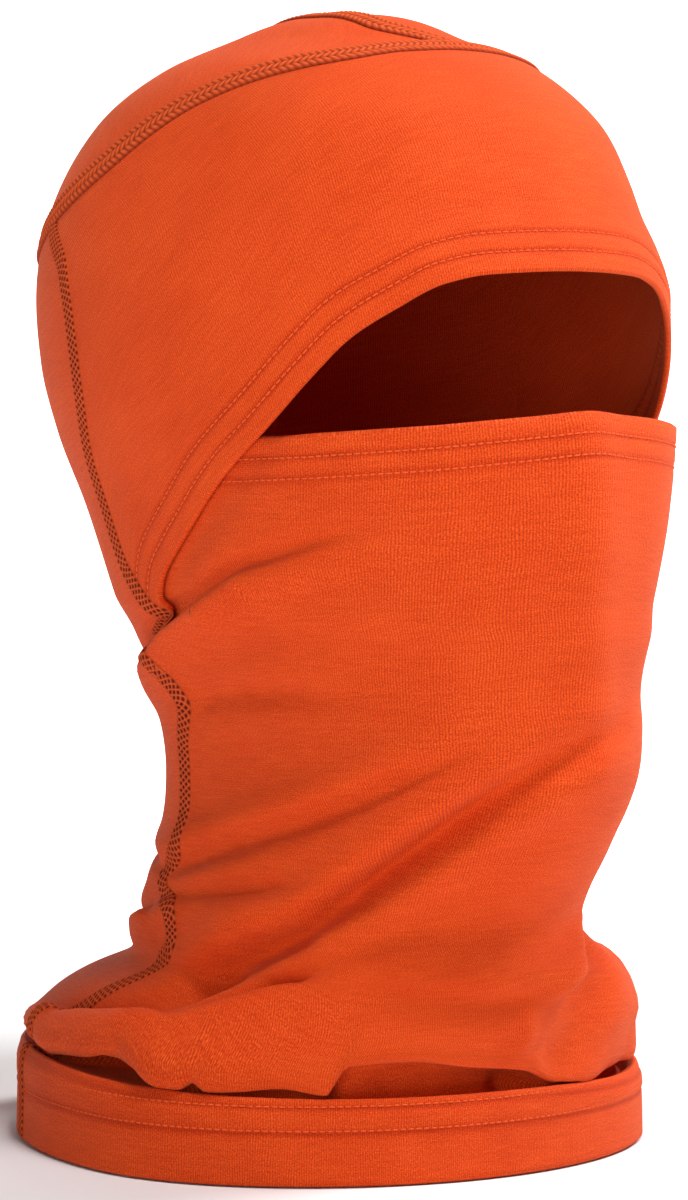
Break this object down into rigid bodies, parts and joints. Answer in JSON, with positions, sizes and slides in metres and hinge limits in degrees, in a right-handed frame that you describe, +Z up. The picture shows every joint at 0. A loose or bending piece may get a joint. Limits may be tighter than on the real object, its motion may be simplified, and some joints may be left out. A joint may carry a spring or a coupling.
{
  "type": "balaclava",
  "caption": "Knitted balaclava standing open on its bottom hem: domed crown, eye opening, long neck gaiter and a mask hem that pulls down from the nose to the chin.",
  "frame": {"origin": "on the plane of the bottom hem, under the middle of the object", "axes": "+Z up, the face looks along -Y, the wearer's left is +X"},
  "size_m": [0.1684, 0.2092, 0.3043],
  "materials": {
    "jersey": "matte fine-gauge merino jersey with a soft sheen, rust orange",
    "seam_thread": "matte textured thread, flatlock seam, darker rust",
    "hem_thread": "matte polyester thread, coverstitch rows, darker rust"
  },
  "bodies": {
    "hood": {"crown_panel_right": "jersey", "crown_panel_left": "jersey", "brow_panel": "jersey", "back_panel": "jersey", "neck_panel": "jersey", "mask_panel": "jersey", "crown_loop_seam": "seam_thread", "crown_centre_seam": "seam_thread", "side_seam_right": "seam_thread", "side_seam_left": "seam_thread", "brow_hem_stitch_lower": "hem_thread", "brow_hem_stitch_upper": "hem_thread", "brow_hem_looper_thread": "hem_thread", "bottom_hem_stitch_lower": "hem_thread", "bottom_hem_stitch_upper": "hem_thread", "bottom_hem_looper_thread": "hem_thread"},
    "mask": {"mask_hem": "jersey", "mask_hem_stitch_upper": "hem_thread", "mask_hem_stitch_lower": "hem_thread", "mask_hem_looper_thread": "hem_thread"}
  },
  "joints": [
    {"name": "mask_hinge", "type": "hinge", "parent": "hood", "child": "mask", "pos_m": [0, 0.0175, 0.179], "axis": [1, 0, 0], "range_deg": [0, 36], "deforming": ["mask_panel"]}
  ]
}
